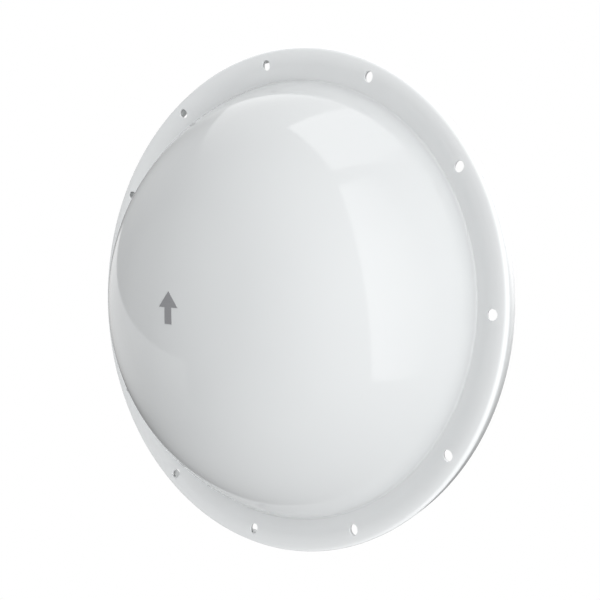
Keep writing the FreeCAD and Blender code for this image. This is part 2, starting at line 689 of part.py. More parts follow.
# ---------------------------------------------------------------- tilt bracket
def hub_bolt_places():
    return [(sx * HUB_BOLT_X, sz * HUB_BOLT_Z) for sx in (-1, 1) for sz in (-1, 1)]


def tilt_cheek():
    """Fan-shaped cheek that runs from the web back to the pivot and round the arc slot."""
    pivot = V(TILT_IN, EL_PIVOT_Y, EL_PIVOT_Z)

    def spot(radius, degrees):
        a = math.radians(degrees)
        return pivot + V(0, radius * math.sin(a), radius * math.cos(a))

    outer = EL_LOCK_REACH + 14.5
    web_top = V(TILT_IN, TILT_WEB_FRONT, TILT_WEB_HALF_HEIGHT)
    web_low = V(TILT_IN, TILT_WEB_FRONT, -TILT_WEB_HALF_HEIGHT)
    shoulder = V(TILT_IN, TILT_WEB_BACK - 2, TILT_WEB_HALF_HEIGHT)
    foot = V(TILT_IN, TILT_WEB_BACK - 2, -TILT_WEB_HALF_HEIGHT)
    edges = [
        Part.makeLine(web_low, web_top),
        Part.makeLine(web_top, shoulder),
        Part.makeLine(shoulder, spot(outer, -27)),
        Part.Arc(spot(outer, -27), spot(outer, 0), spot(outer, 27)).toShape(),
        Part.makeLine(spot(outer, 27), spot(17, 80)),
        Part.Arc(spot(17, 80), spot(17, 130), spot(17, 180)).toShape(),
        Part.makeLine(spot(17, 180), foot),
        Part.makeLine(foot, web_low),
    ]
    return Part.Face(Part.Wire(edges)).extrude(V(TILT_OUT - TILT_IN, 0, 0))


def tilt_slots():
    """Tools for the arc slot and the bush's hole, through each cheek."""
    def slot():
        start = V(TILT_IN - OVER, EL_PIVOT_Y, EL_PIVOT_Z)
        return arc_slot(start, EL_LOCK_REACH, METRIC["M8"][0] + LOOSE, EL_RANGE + 1.0,
                        (UP, AHEAD), TILT_OUT - TILT_IN + 2 * OVER)

    def bush_hole():
        return rod(V(TILT_IN - OVER, EL_PIVOT_Y, EL_PIVOT_Z), X_AXIS, EL_BUSH_R + TAPPED, 8)
    return side_pair(slot) + side_pair(bush_hole)


def tilt_bracket():
    """Pressed channel: a web behind the hub plate and two cheeks, with rounded bends."""
    web = block(-TILT_OUT, TILT_OUT, TILT_WEB_FRONT, TILT_WEB_BACK,
                -TILT_WEB_HALF_HEIGHT, TILT_WEB_HALF_HEIGHT)
    body = web.fuse(side_pair(tilt_cheek)).removeSplitter().Solids[0]
    outer_bends = edges_along(body, "z", [(s * TILT_OUT, TILT_WEB_FRONT) for s in (-1, 1)])
    body = body.makeFillet(TILT_BEND, outer_bends)
    inner_bends = edges_along(body, "z", [(s * TILT_IN, TILT_WEB_BACK) for s in (-1, 1)])
    body = body.makeFillet(TILT_BEND - (TILT_OUT - TILT_IN), inner_bends)
    start = TILT_WEB_FRONT - OVER
    opening = rod(V(0, start, 0), BACK, BLOCK_HALF * math.sqrt(2) + 2, 8)
    bolts = [rod(V(x, start, z), BACK, METRIC["M8"][0] + LOOSE, 8) for x, z in hub_bolt_places()]
    return cut_all(eased(body), [opening] + bolts + list(tilt_slots()))


def hub_bolts():
    """Bolts put in from inside the hub, with their nuts behind the tilt bracket."""
    return group(bolt("M8", V(x, at(HUB_FRONT), z), BACK, 22.0) for x, z in hub_bolt_places())


def hub_washers():
    return group(washer("M8", V(x, TILT_WEB_BACK, z), BACK) for x, z in hub_bolt_places())


def hub_nuts():
    behind = TILT_WEB_BACK + METRIC["M8"][5]
    return group(nut("M8", V(x, behind, z), BACK) for x, z in hub_bolt_places())


def elevation_bushes():
    """Flanged plain bushes pressed into the tilt bracket's cheeks."""
    def one():
        start = V(YOKE_OUT + SLACK, EL_PIVOT_Y, EL_PIVOT_Z)
        flange = rod(start, X_AXIS, 11.0, GAP - SLACK)
        body = rod(start, X_AXIS, EL_BUSH_R, TILT_OUT - YOKE_OUT - SLACK)
        return flange.fuse(body).removeSplitter().cut(rod(start, X_AXIS, METRIC["M10"][0] + TAPPED, 8))
    return group(side_pair(one))


def elevation_scales():
    """Riveted scale plates above the arc slots, one on each cheek."""
    def one():
        pivot = V(TILT_OUT, EL_PIVOT_Y, EL_PIVOT_Z)
        return arc_slot(pivot, EL_LOCK_REACH + 11.2, 2.6, EL_RANGE + 2, (UP, AHEAD), 0.6)
    return group(side_pair(one))


# ---------------------------------------------------------------- azimuth yoke
def yoke_cheek():
    """Cheek that carries the elevation pivot below and the lock bolt above."""
    pivot = V(YOKE_IN, EL_PIVOT_Y, EL_PIVOT_Z)
    lock = pivot + V(0, 0, EL_LOCK_REACH)
    pivot_r = 17.0
    lock_r = 13.0
    rear = YOKE_FRONT + 2
    below = pivot - V(0, 0, pivot_r)
    ahead_of_pivot = pivot - V(0, pivot_r, 0)
    ahead_of_lock = lock - V(0, lock_r, 0)
    above = lock + V(0, 0, lock_r)
    eighth = math.sqrt(0.5)
    edges = [
        Part.makeLine(V(YOKE_IN, rear, below.z), below),
        Part.Arc(below, pivot - V(0, pivot_r * eighth, pivot_r * eighth), ahead_of_pivot).toShape(),
        Part.makeLine(ahead_of_pivot, ahead_of_lock),
        Part.Arc(ahead_of_lock, lock + V(0, -lock_r * eighth, lock_r * eighth), above).toShape(),
        Part.makeLine(above, V(YOKE_IN, rear, above.z)),
        Part.makeLine(V(YOKE_IN, rear, above.z), V(YOKE_IN, rear, below.z)),
    ]
    return Part.Face(Part.Wire(edges)).extrude(V(YOKE_OUT - YOKE_IN, 0, 0))


def yoke_holes():
    """Tools for the bolts' holes and the lightening hole, through each cheek."""
    start = V(YOKE_IN - OVER, EL_PIVOT_Y, EL_PIVOT_Z)
    spots = [(0, 0, METRIC["M10"][0] + CLOSE), (0, EL_LOCK_REACH, METRIC["M8"][0] + CLOSE),
             (10, EL_LOCK_REACH / 2, 14.0)]
    tools = []
    for back, up, radius in spots:
        tools += side_pair(lambda: rod(start + V(0, back, up), X_AXIS, radius, 8))
    return tools


def yoke_flange():
    """Upper flange that reaches back under the lug and round the azimuth pivot."""
    pivot = V(0, AZ_PIVOT_Y, YOKE_FLANGE_IN)
    nose = V(12.0, 0, 0)
    root_right = V(LUG_HALF_WIDTH, YOKE_BACK - 2, YOKE_FLANGE_IN)
    root_left = V(-LUG_HALF_WIDTH, YOKE_BACK - 2, YOKE_FLANGE_IN)
    straight = V(0, 14, 0)
    edges = [
        Part.makeLine(root_left, root_right),
        Part.makeLine(root_right, root_right + straight),
        Part.makeLine(root_right + straight, pivot + nose),
        Part.Arc(pivot + nose, pivot + V(0, nose.x, 0), pivot - nose).toShape(),
        Part.makeLine(pivot - nose, root_left + straight),
        Part.makeLine(root_left + straight, root_left),
    ]
    return Part.Face(Part.Wire(edges)).extrude(V(0, 0, YOKE_FLANGE_OUT - YOKE_FLANGE_IN))


def azimuth_yoke():
    """Pressed yoke: a web, two cheeks ahead of it and two flanges behind it, with rounded bends."""
    web = block(-YOKE_OUT, YOKE_OUT, YOKE_FRONT, YOKE_BACK, -YOKE_FLANGE_OUT, YOKE_FLANGE_OUT)
    body = web.fuse(up_and_down(yoke_flange) + side_pair(yoke_cheek)).removeSplitter().Solids[0]
    cheek_bends = edges_along(body, "z", [(s * YOKE_OUT, YOKE_BACK) for s in (-1, 1)])
    body = body.makeFillet(YOKE_BEND, cheek_bends)
    flange_bends = edges_along(body, "x", [(s * YOKE_FLANGE_OUT, YOKE_FRONT) for s in (-1, 1)])
    body = body.makeFillet(YOKE_BEND, flange_bends)
    tools = [rod(V(0, YOKE_FRONT - OVER, 0), BACK, 24.0, 8)]
    below = V(0, 0, YOKE_FLANGE_IN - OVER)
    tools += up_and_down(lambda: rod(AZ_PIVOT + below, UP, AZ_BUSH_R + TAPPED, 8))
    tools += up_and_down(lambda: rod(AZ_LOCK + below, UP, METRIC["M8"][0] + CLOSE, 8))
    return cut_all(eased(body), tools + yoke_holes())


def elevation_pivot_bolts():
    return group(side_pair(lambda: bolt(
        "M10", V(TILT_OUT + SLACK + METRIC["M10"][5], EL_PIVOT_Y, EL_PIVOT_Z), V(-1, 0, 0), 24.0)))


def elevation_pivot_washers():
    def outside():
        return washer("M10", V(TILT_OUT + SLACK, EL_PIVOT_Y, EL_PIVOT_Z), X_AXIS)

    def inside():
        return washer("M10", V(YOKE_IN, EL_PIVOT_Y, EL_PIVOT_Z), V(-1, 0, 0))
    return group(side_pair(outside) + side_pair(inside))


def elevation_pivot_nuts():
    return group(side_pair(lambda: nut(
        "M10", V(YOKE_IN - METRIC["M10"][5], EL_PIVOT_Y, EL_PIVOT_Z), V(-1, 0, 0))))


def elevation_lock_bolts():
    return group(side_pair(lambda: bolt(
        "M8", EL_LOCK + V(TILT_OUT + SLACK + METRIC["M8"][5], 0, 0), V(-1, 0, 0), 21.0)))


def elevation_lock_washers():
    def outside():
        return washer("M8", EL_LOCK + V(TILT_OUT + SLACK, 0, 0), X_AXIS)

    def between():
        return pipe(EL_LOCK + V(YOKE_OUT, 0, 0), X_AXIS, METRIC["M8"][4], METRIC["M8"][0] + 0.3, GAP - SLACK)

    def inside():
        return washer("M8", EL_LOCK + V(YOKE_IN, 0, 0), V(-1, 0, 0))
    return group(side_pair(outside) + side_pair(between) + side_pair(inside))


def elevation_lock_nuts():
    return group(side_pair(lambda: nut("M8", EL_LOCK + V(YOKE_IN - METRIC["M8"][5], 0, 0), V(-1, 0, 0))))


def azimuth_bushes():
    """Flanged plain bushes pressed into the yoke's flanges."""
    def one():
        start = AZ_PIVOT + V(0, 0, YOKE_FLANGE_IN)
        body = rod(start, UP, AZ_BUSH_R, LUG_IN - SLACK - YOKE_FLANGE_IN)
        flange = rod(AZ_PIVOT + V(0, 0, YOKE_FLANGE_OUT), UP, 11.5, GAP - SLACK)
        return body.fuse(flange).removeSplitter().cut(rod(start, UP, METRIC["M12"][0] + TAPPED, 8))
    return group(up_and_down(one))


def azimuth_lock_bolts():
    return group(up_and_down(lambda: bolt(
        "M8", AZ_LOCK + V(0, 0, LUG_OUT + SLACK + METRIC["M8"][5]), DOWN, 22.0)))


def azimuth_lock_washers():
    def outside():
        return washer("M8", AZ_LOCK + V(0, 0, LUG_OUT + SLACK), UP)

    def inside():
        return washer("M8", AZ_LOCK + V(0, 0, YOKE_FLANGE_IN), DOWN)
    return group(up_and_down(outside) + up_and_down(inside))


def azimuth_lock_nuts():
    return group(up_and_down(lambda: nut("M8", AZ_LOCK + V(0, 0, YOKE_FLANGE_IN - METRIC["M8"][5]), DOWN)))


# ---------------------------------------------------------------- pole bracket and clamps
def clamp_bolt_places():
    return [(sx * CLAMP_BOLT_X, sz * CLAMP_BOLT_Z) for sx in (-1, 1) for sz in (-1, 1)]


def saddle_screw_places():
    return [(sx * 16.0, sz * CLAMP_BOLT_Z) for sx in (-1, 1) for sz in (-1, 1)]


def lug():
    """Lug above, with its pivot hole and arc slot, and the two gussets that brace it."""
    body = block(-LUG_HALF_WIDTH, LUG_HALF_WIDTH, LUG_FRONT, PLATE_FRONT + 1, LUG_IN, LUG_OUT)
    front = [e for e in body.Edges if e.BoundBox.ZLength > 4.9 and e.BoundBox.YMax < LUG_FRONT + 1]
    body = eased(body.makeFillet(12.0, front))
    start = AZ_PIVOT + V(0, 0, LUG_IN - OVER)
    pivot = rod(start, UP, METRIC["M12"][0] + CLOSE, 8)
    slot = arc_slot(start, AZ_LOCK_REACH, METRIC["M8"][0] + LOOSE, AZ_RANGE + 1.5,
                    (AHEAD, X_AXIS), LUG_OUT - LUG_IN + 2 * OVER)
    return body.fuse(side_pair(gusset)).cut(pivot).cut(slot)


def gusset():
    """Triangular brace between lug and plate, let 1 mm into both."""
    inner_x = LUG_HALF_WIDTH - GUSSET_T - BROKEN
    root = V(inner_x, PLATE_FRONT + 1, LUG_OUT - 1)
    height = PLATE_HALF_HEIGHT - LUG_OUT - BROKEN
    corners = [root, root + V(0, -GUSSET_REACH, 0), root + V(0, 0, height), root]
    return Part.Face(Part.makePolygon(corners)).extrude(V(GUSSET_T, 0, 0))


def pole_bracket():
    """Plate behind two welded lugs, with the azimuth slots in the lugs."""
    plate = block(-PLATE_HALF_WIDTH, PLATE_HALF_WIDTH, PLATE_FRONT, PLATE_BACK,
                  -PLATE_HALF_HEIGHT, PLATE_HALF_HEIGHT)
    corners = [e for e in plate.Edges if abs(e.BoundBox.YLength - (PLATE_BACK - PLATE_FRONT)) < 0.01]
    plate = eased(plate.makeFillet(10.0, corners))
    body = plate.fuse(up_and_down(lug)).removeSplitter()
    start = PLATE_FRONT - OVER
    holes = [rod(V(x, start, z), BACK, METRIC["M10"][0] + LOOSE, 8) for x, z in clamp_bolt_places()]
    holes += [rod(V(x, start, z), BACK, METRIC["M6"][0] + CLOSE, 8) for x, z in saddle_screw_places()]
    holes.append(rod(V(GROUND_X, start, GROUND_Z), BACK, GROUND_KNURL_R + TAPPED, 8))
    return cut_all(body, holes)


def pole_bore():
    """Tool for the round seat that a clamp piece has for the pole."""
    return rod(V(0, 0, -2 * PLATE_HALF_HEIGHT), UP, POLE_R, 4 * PLATE_HALF_HEIGHT)


def pole_saddle(side):
    """Cast saddle between the plate and the pole."""
    z0, z1 = sorted((side * CLAMP_LOW, side * CLAMP_HIGH))
    edge_y = -POLE_R * math.cos(math.radians(SEAT_HALF_ANGLE))
    body = block(-SADDLE_HALF_WIDTH, SADDLE_HALF_WIDTH, PLATE_BACK, edge_y, z0, z1)
    rear = edges_along(body, "z", [(s * SADDLE_HALF_WIDTH, edge_y) for s in (-1, 1)])
    body = eased(body.makeFillet(CASTING_R, rear))
    screws = [rod(V(x, PLATE_BACK - OVER, z), BACK, METRIC["M6"][0] + TAPPED, 13)
              for x, z in saddle_screw_places() if z * side > 0]
    return cut_all(body, [pole_bore()] + screws)


def saddle_screws():
    return group(bolt("M6", V(x, PLATE_FRONT, z), BACK, 16.0) for x, z in saddle_screw_places())


def clamp_jaw(side):
    """Cast rear jaw with two ears for the long bolts."""
    edge_x = POLE_R * math.sin(math.radians(SEAT_HALF_ANGLE))
    edge_y = POLE_R * math.cos(math.radians(SEAT_HALF_ANGLE))
    z0 = min(side * CLAMP_LOW, side * CLAMP_HIGH)
    ear_x = CLAMP_BOLT_X + 14
    ear_front = 24.0
    right = [(edge_x, edge_y), (34, edge_y), (40, ear_front), (ear_x, ear_front), (ear_x, JAW_EAR_BACK),
             (37, JAW_EAR_BACK), (25, 42), (0, 45)]
    points = right + [(-x, y) for x, y in reversed(right[:-1])]
    points.append((0, 5))
    loop = [V(x, y, z0) for x, y in points]
    body = Part.Face(Part.makePolygon(loop + loop[:1])).extrude(V(0, 0, CLAMP_HIGH - CLAMP_LOW))
    ears = edges_along(body, "z", [(s * ear_x, y) for s in (-1, 1) for y in (ear_front, JAW_EAR_BACK)])
    body = eased(body.makeFillet(CASTING_R, ears))
    holes = [rod(V(x, 0, z), BACK, METRIC["M10"][0] + LOOSE, 60)
             for x, z in clamp_bolt_places() if z * side > 0]
    return cut_all(body, [pole_bore()] + holes)


def clamp_bolts():
    return group(bolt("M10", V(x, PLATE_FRONT, z), BACK, 112.0) for x, z in clamp_bolt_places())


def clamp_washers():
    return group(washer("M10", V(x, JAW_EAR_BACK, z), BACK) for x, z in clamp_bolt_places())


def clamp_nuts():
    behind = JAW_EAR_BACK + METRIC["M10"][5]
    return group(nut("M10", V(x, behind, z), BACK) for x, z in clamp_bolt_places())


def azimuth_pivot_bolts():
    return group(up_and_down(lambda: bolt(
        "M12", AZ_PIVOT + V(0, 0, LUG_OUT + METRIC["M12"][5]), DOWN, 30.0)))


def azimuth_pivot_washers():
    def outside():
        return washer("M12", AZ_PIVOT + V(0, 0, LUG_OUT), UP)

    def inside():
        return washer("M12", AZ_PIVOT + V(0, 0, YOKE_FLANGE_IN - SLACK), DOWN)
    return group(up_and_down(outside) + up_and_down(inside))


def azimuth_pivot_nuts():
    return group(up_and_down(lambda: nut(
        "M12", AZ_PIVOT + V(0, 0, YOKE_FLANGE_IN - SLACK - METRIC["M12"][5]), DOWN)))


def ground_stud():
    """Clinch stud for the earth lead: a thin flange ahead of the plate and a free thread behind it."""
    front = V(GROUND_X, PLATE_FRONT, GROUND_Z)
    back = V(GROUND_X, PLATE_BACK, GROUND_Z)
    shank_r = METRIC["M6"][0]
    flange = rod(front + AHEAD * 1.5, BACK, 5.0, 1.5)
    knurl = rod(front, BACK, GROUND_KNURL_R, PLATE_BACK - PLATE_FRONT)
    thread = rod(back, BACK, shank_r, GROUND_THREAD)
    tip_y = PLATE_BACK + GROUND_THREAD
    tip = [e for e in thread.Edges if e.BoundBox.YMin > tip_y - 0.01]
    return flange.fuse([knurl, thread.makeChamfer(0.45, tip)]).removeSplitter()


PARTS = {
    "radome_shell": radome_shell,
    "up_arrow": up_arrow,
    "rim_gasket": rim_gasket,
    "reflector_dish": reflector_dish,
    "back_hub": back_hub,
    "hub_rivets": hub_rivets,
    "hub_spacer": hub_spacer,
    "drain_plug": drain_plug,
    "feed_flange": feed_flange,
    "feed_oring": feed_oring,
    "feed_flange_screws": feed_flange_screws,
    "feed_tube": feed_tube,
    "dielectric_cone": dielectric_cone,
    "subreflector": subreflector,
    "subreflector_screw": subreflector_screw,
    "rf_transition_block": rf_transition_block,
    "transition_cover": transition_cover,
    "transition_screws": transition_screws,
    "rf_connector_left": lambda: rf_connector(-1),
    "rf_connector_right": lambda: rf_connector(1),
    "tilt_bracket": tilt_bracket,
    "hub_bolts": hub_bolts,
    "hub_washers": hub_washers,
    "hub_nuts": hub_nuts,
    "elevation_bushes": elevation_bushes,
    "elevation_scales": elevation_scales,
    "azimuth_yoke": azimuth_yoke,
    "elevation_pivot_bolts": elevation_pivot_bolts,
    "elevation_pivot_washers": elevation_pivot_washers,
    "elevation_pivot_nuts": elevation_pivot_nuts,
    "elevation_lock_bolts": elevation_lock_bolts,
    "elevation_lock_washers": elevation_lock_washers,
    "elevation_lock_nuts": elevation_lock_nuts,
    "azimuth_bushes": azimuth_bushes,
    "azimuth_lock_bolts": azimuth_lock_bolts,
    "azimuth_lock_washers": azimuth_lock_washers,
    "azimuth_lock_nuts": azimuth_lock_nuts,
    "pole_bracket": pole_bracket,
    "pole_saddle_upper": lambda: pole_saddle(1),
    "pole_saddle_lower": lambda: pole_saddle(-1),
    "saddle_screws": saddle_screws,
    "clamp_jaw_upper": lambda: clamp_jaw(1),
    "clamp_jaw_lower": lambda: clamp_jaw(-1),
    "clamp_bolts": clamp_bolts,
    "clamp_washers": clamp_washers,
    "clamp_nuts": clamp_nuts,
    "azimuth_pivot_bolts": azimuth_pivot_bolts,
    "azimuth_pivot_washers": azimuth_pivot_washers,
    "azimuth_pivot_nuts": azimuth_pivot_nuts,
    "ground_stud": ground_stud,
}


def main():
    os.makedirs("parts", exist_ok=True)
    for name, make in PARTS.items():
        shape = make()
        if not shape.isValid() or not shape.Solids:
            raise SystemExit(name + " is not a valid solid")
        shape.exportStep("parts/" + name + ".step")


main()
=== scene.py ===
import json
import math

import bmesh
import bpy
from mathutils import Matrix, Vector


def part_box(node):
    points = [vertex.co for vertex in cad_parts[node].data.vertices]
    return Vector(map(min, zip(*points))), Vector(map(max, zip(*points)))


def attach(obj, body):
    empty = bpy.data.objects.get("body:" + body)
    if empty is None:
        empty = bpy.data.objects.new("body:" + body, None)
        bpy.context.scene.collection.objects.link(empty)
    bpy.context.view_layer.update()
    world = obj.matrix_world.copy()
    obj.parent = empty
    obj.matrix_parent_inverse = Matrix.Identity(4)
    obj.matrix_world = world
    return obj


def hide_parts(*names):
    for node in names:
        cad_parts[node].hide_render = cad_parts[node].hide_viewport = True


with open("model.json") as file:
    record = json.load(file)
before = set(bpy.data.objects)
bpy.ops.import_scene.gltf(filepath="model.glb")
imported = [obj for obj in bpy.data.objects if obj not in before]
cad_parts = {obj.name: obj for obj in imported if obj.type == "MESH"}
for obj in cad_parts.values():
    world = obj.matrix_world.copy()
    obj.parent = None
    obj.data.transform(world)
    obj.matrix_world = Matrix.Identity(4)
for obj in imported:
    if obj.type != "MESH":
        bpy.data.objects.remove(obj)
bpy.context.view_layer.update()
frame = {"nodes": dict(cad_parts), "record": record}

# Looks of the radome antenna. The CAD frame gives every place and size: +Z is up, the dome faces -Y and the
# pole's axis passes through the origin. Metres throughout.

NODES = frame["nodes"]
SCENE = bpy.context.scene
MM = 0.001
X, Y, Z = range(3)

# ---------------------------------------------------------------- sizes that repeat the model's own
WALL = 2.5 * MM
DOME_RISE = 158.4 * MM            # apex ahead of the flange's crest
DOME_FOOT_R = 292.4 * MM
FOOT_FILLET = 2.0 * MM
FLANGE_EDGE_R = 5.0 * MM
CREST_ROUND = 32.0 * MM
RIM_SLOPE = 34.0                  # degrees
RIM_HOLES = 12
HOLE_CIRCLE = 312.6 * MM
HOLE_R = 6.0 * MM
EL_PIVOT = (0.0, -0.150, -0.045)  # point on the tilt axis
SCALE_R = 0.100                   # where the scale's short lines start, from the tilt axis

radome_low, radome_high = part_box("radome_shell")
RADOME_R = (radome_high.x - radome_low.x) / 2
FLANGE_Y = radome_low.y + DOME_RISE
SKIRT_DEPTH = radome_high.y - FLANGE_Y

SLOPE = math.radians(RIM_SLOPE)
CREST_R = RADOME_R - FLANGE_EDGE_R
CONE_R = CREST_R - CREST_ROUND * math.sin(SLOPE)
CONE_DROP = CREST_ROUND * (1 - math.cos(SLOPE))
FOOT_RISE = DOME_RISE + CONE_DROP + (CONE_R - DOME_FOOT_R) * math.tan(SLOPE)
DOME_R = (DOME_FOOT_R**2 + FOOT_RISE**2) / (2 * FOOT_RISE)
DOME_CENTRE = DOME_RISE - DOME_R

# Threads: nominal radius and pitch of each size, then the shape of a metric thread as parts of its pitch.
THREADS = {
    "M6": (3.0 * MM, 1.0 * MM),
    "M8": (4.0 * MM, 1.25 * MM),
    "M10": (5.0 * MM, 1.5 * MM),
    "M12": (6.0 * MM, 1.75 * MM),
}
THREAD_DEPTH = 0.613
CREST_FLAT = 0.125
ROOT_FLAT = 0.25
TIP_CHAMFER = 0.15                 # of the shank's radius
THREAD_ROWS = 8                    # in each pitch
THREAD_SEGMENTS = 24
THREAD_GAP = 0.3 * MM              # plain band between the CAD's shank and the thread
WELD = 0.001 * MM

# Camera: its place from the flange's centre in flange radii, the way it looks and its upright.
CAMERA_PLACE = (1.5331, -1.8404, 0.1024)
CAMERA_FORWARD = (-0.5839, 0.8108, -0.0397)
CAMERA_UP = (-0.0466, 0.0153, 0.9988)
CAMERA_LENS = 35.25                # mm, on a sensor 36 mm wide

# ---------------------------------------------------------------- light tent, as radiance over directions
TENT_LEVEL = 1.01
TENT_LEAN = (0.460, -0.923, 0.150)       # brighter towards the right, the front and the top
BAND_AXIS = (-0.43, -0.90, 0.04)         # the tent is darker along this axis, at both ends
BAND_DEPTH = 1.86
TENT_FLOOR = 0.20
LAMPS = (                                # soft round lamps: direction, cosine where they start, power
    ((-0.20, 0.84, 0.50), 0.68, 1.7),
    ((-0.99, 0.05, 0.10), 0.80, 0.33),
)
LAMP_FULL = 0.97                         # cosine from which a lamp has its full power
TENT_COLOUR = (0.985, 0.995, 1.0, 1.0)

# Lit panels: how far the upright ones stand away, and how bright each one's first edge is.
PANEL_AWAY = 1.2
WINDOW_POWER = 1.5
CEILING_POWER = 0.6
BOUNCE_POWER = 0.60


def make_camera():
    """Camera in front of the dome and to its right, a little above the beam's axis, with a slight roll."""
    data = bpy.data.cameras.new("camera")
    data.lens = CAMERA_LENS
    data.sensor_width = 36.0
    data.clip_end = 60.0
    camera = bpy.data.objects.new("camera", data)
    SCENE.collection.objects.link(camera)
    place = Vector(CAMERA_PLACE) * RADOME_R + Vector((0, FLANGE_Y, 0))
    forward = Vector(CAMERA_FORWARD).normalized()
    side = forward.cross(Vector(CAMERA_UP)).normalized()
    up = side.cross(forward)
    turn = Matrix((side, up, -forward)).transposed().to_4x4()
    camera.matrix_world = Matrix.Translation(place) @ turn
    SCENE.camera = camera
    SCENE.view_settings.view_transform = "Standard"


def make_world():
    """Light tent round the scene, darker along one axis, with soft lamps high behind and to the left."""
    world = bpy.data.worlds.new("tent")
    SCENE.world = world
    world.use_nodes = True
    tree = world.node_tree
    direction = node(tree, "TexCoord").outputs["Generated"]
    lean = dot(tree, direction, TENT_LEAN)
    along = dot(tree, direction, BAND_AXIS)
    band = calc(tree, "MULTIPLY", along, along)
    level = calc(tree, "ADD", lean, TENT_LEVEL)
    level = calc(tree, "SUBTRACT", level, calc(tree, "MULTIPLY", band, BAND_DEPTH))
    level = calc(tree, "MAXIMUM", level, TENT_FLOOR)
    for towards, start, power in LAMPS:
        lobe = node(tree, "MapRange", {"Value": dot(tree, direction, towards), "From Min": start,
                                       "From Max": LAMP_FULL, "To Min": 0.0, "To Max": power},
                    interpolation_type="SMOOTHSTEP")
        level = calc(tree, "ADD", level, lobe.outputs["Result"])
    background = tree.nodes["Background"]
    background.inputs["Color"].default_value = TENT_COLOUR
    tree.links.new(level, background.inputs["Strength"])


def make_panel(name, corner, along, across, power):
    """Lit panel that shows only in reflections. It is brightest at its first edge and fades across."""
    along = Vector(along)
    across = Vector(across)
    made = bmesh.new()
    made.faces.new([made.verts.new(p) for p in ((0, 0, 0), (along.length, 0, 0),
                                                (along.length, across.length, 0), (0, across.length, 0))])
    mesh = bpy.data.meshes.new(name)
    made.to_mesh(mesh)
    made.free()
    panel = bpy.data.objects.new(name, mesh)
    SCENE.collection.objects.link(panel)
    x_axis = along.normalized()
    y_axis = across.normalized()
    turn = Matrix((x_axis, y_axis, x_axis.cross(y_axis))).transposed().to_4x4()
    panel.matrix_world = Matrix.Translation(corner) @ turn
    material, tree, shader = new_material(name)
    place = node(tree, "SeparateXYZ", {0: object_place(tree)})
    fade = node(tree, "MapRange", {"Value": place.outputs["Y"], "From Min": 0.0, "From Max": across.length,
                                   "To Min": power, "To Max": 0.0}).outputs["Result"]
    transparent = node(tree, "BsdfTransparent").outputs[0]
    glow = node(tree, "Emission", {"Strength": fade}).outputs[0]
    both = node(tree, "AddShader", {0: transparent, 1: glow}).outputs[0]
    tree.links.new(both, tree.nodes["Material Output"].inputs["Surface"])
    tree.nodes.remove(shader)
    mesh.materials.append(material)
    hide_from(panel, "camera", "diffuse", "shadow", "transmission")


def hide_from(thing, *rays):
    for ray in rays:
        setattr(thing, "visible_" + ray, False)


def make_panels():
    """Windows overhead and to the right, two ceiling boards and a low bounce board on the left."""
    make_panel("window_overhead", (-0.187, -0.525, 1.3), (0.664, -0.393, 0.0), (0.42, 0.71, 0.0),
               WINDOW_POWER)
    ceiling_corner = (-1.2, 0.0, 1.31)
    ceiling_edge = (1.9, 0.0, 0.0)
    make_panel("ceiling_front", ceiling_corner, ceiling_edge, (0.0, -0.8, 0.0), CEILING_POWER)
    make_panel("ceiling_back", ceiling_corner, ceiling_edge, (0.0, 0.9, 0.0), CEILING_POWER)

    aside = Vector((0.5, 0.866, 0.0))
    middle = Vector((0.2, -0.4, 0.0)) + Vector((0.866, -0.5, 0.0)) * PANEL_AWAY
    top_left = middle + aside * -0.545 + Vector((0, 0, 2.02))
    bottom_left = middle + aside * -0.074 + Vector((0, 0, -0.88))
    across = (aside * 0.987 + Vector((0, 0, 0.1615))) * 0.75
    make_panel("window_right", top_left, bottom_left - top_left, across, WINDOW_POWER)

    aside = Vector((0.2588, -0.9659, 0.0))
    middle = Vector((-0.1, -0.47, 0.0)) + Vector((-0.9659, -0.2588, 0.0)) * PANEL_AWAY
    top = middle + aside * -0.95 + Vector((0, 0, 0.33))
    along = (aside * 0.857 + Vector((0, 0, -0.515))) * 2.1
    across = (aside * -0.515 + Vector((0, 0, -0.857))) * 0.95
    make_panel("bounce_left", top, along, across, BOUNCE_POWER)


def make_stage():
    """Pale floor that curves up into a wall and a ceiling. It only shows: the tent lights the object."""
    floor_z, radius, bend, height = -1.0, 9.0, 3.0, 9.0
    profile = [(0.0, floor_z), (radius - bend, floor_z)]
    for k in range(1, 13):
        a = math.radians(90 * k / 12)
        profile.append((radius - bend + bend * math.sin(a), floor_z + bend - bend * math.cos(a)))
    profile += [(radius, height), (radius * 0.7, height + 3.0), (0.0, height + 4.0)]
    floor = lathe("studio_floor", profile, 64)
    material, tree, shader = new_material("studio_white")
    shader.inputs["Base Color"].default_value = (0.0, 0.0, 0.0, 1.0)
    shader.inputs["Specular IOR Level"].default_value = 0.0
    shader.inputs["Emission Color"].default_value = (1.0, 1.0, 1.0, 1.0)
    shader.inputs["Emission Strength"].default_value = 1.0
    floor.data.materials.append(material)
    hide_from(floor, "diffuse", "glossy", "transmission", "shadow")


# ---------------------------------------------------------------- meshes
def finish_mesh(name, mesh_data, smooth_angle=35.0):
    """Object from a bmesh, with rounded faces shaded smooth and edges above the angle kept sharp."""
    bmesh.ops.recalc_face_normals(mesh_data, faces=mesh_data.faces)
    for face in mesh_data.faces:
        face.smooth = True
    limit = math.radians(smooth_angle)
    for edge in mesh_data.edges:
        edge.smooth = not (edge.is_manifold and edge.calc_face_angle(0.0) > limit)
    mesh = bpy.data.meshes.new(name)
    mesh_data.to_mesh(mesh)
    mesh_data.free()
    thing = bpy.data.objects.new(name, mesh)
    SCENE.collection.objects.link(thing)
    return thing


